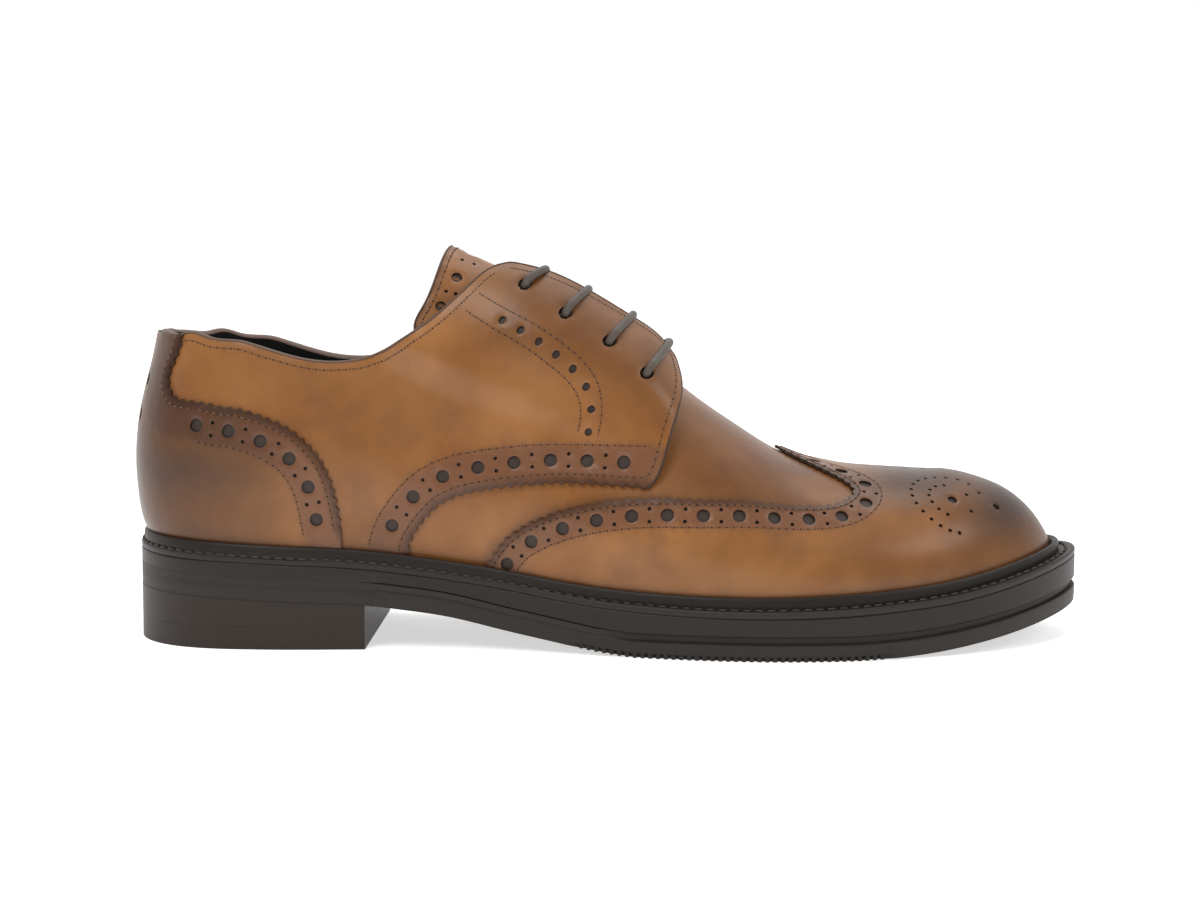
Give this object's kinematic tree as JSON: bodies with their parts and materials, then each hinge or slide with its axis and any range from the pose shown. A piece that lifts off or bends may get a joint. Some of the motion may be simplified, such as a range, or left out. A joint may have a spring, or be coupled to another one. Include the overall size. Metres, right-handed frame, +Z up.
{
  "type": "wingtip derby shoe",
  "caption": "Leather full-brogue derby shoe for the right foot, with storm-welted rubber sole, open lacing and a separate tongue.",
  "frame": {"origin": "centre of the bounding box at the ground", "axes": "+X towards the toe, -Y the lateral side, +Z up"},
  "size_m": [0.3028, 0.1056, 0.1236],
  "materials": {
    "leather_tan": "burnished calf, semi-gloss",
    "leather_lining": "matt black lining leather",
    "stiffener": "leatherboard",
    "rubber_sole": "matt dark brown rubber",
    "welt_rubber": "satin dark brown welt",
    "thread": "waxed thread",
    "insole_board": "insole leather",
    "cork": "cork and resin",
    "steel": "spring steel",
    "brass": "lacquered brass",
    "lace_cotton": "waxed round cotton",
    "tip_plastic": "lace tip"
  },
  "bodies": {
    "shoe": {"outsole": "rubber_sole", "midsole": "rubber_sole", "welt": "welt_rubber", "welt_thread": "thread", "heel_block": "rubber_sole", "heel_top_lift": "rubber_sole", "heel_nails": "steel", "insole": "insole_board", "sock_lining": "leather_lining", "cork_filler": "cork", "shank": "steel", "vamp": "leather_tan", "wing_cap": "leather_tan", "quarter_lateral": "leather_tan", "quarter_medial": "leather_tan", "heel_counter_cover": "leather_tan", "heel_stiffener": "stiffener", "toe_puff": "stiffener", "facing_stay_lateral": "stiffener", "facing_stay_medial": "stiffener", "eyelets_lateral": "brass", "eyelets_medial": "brass", "topline_tape_lateral": "thread", "topline_tape_medial": "thread", "vamp_lining": "leather_lining", "quarter_lining_lateral": "leather_lining", "quarter_lining_medial": "leather_lining", "lace": "lace_cotton", "lace_tips": "tip_plastic"},
    "tongue": {"tongue": "leather_tan", "tongue_lining": "leather_lining", "tongue_trim": "leather_tan"}
  },
  "joints": [
    {"name": "tongue_hinge", "type": "hinge", "parent": "shoe", "child": "tongue", "pos_m": [0.013, 0.0028, 0.079], "axis": [0, 1, 0], "range_deg": [-8, 0], "stiffness_Nm_per_rad": 0.5}
  ]
}
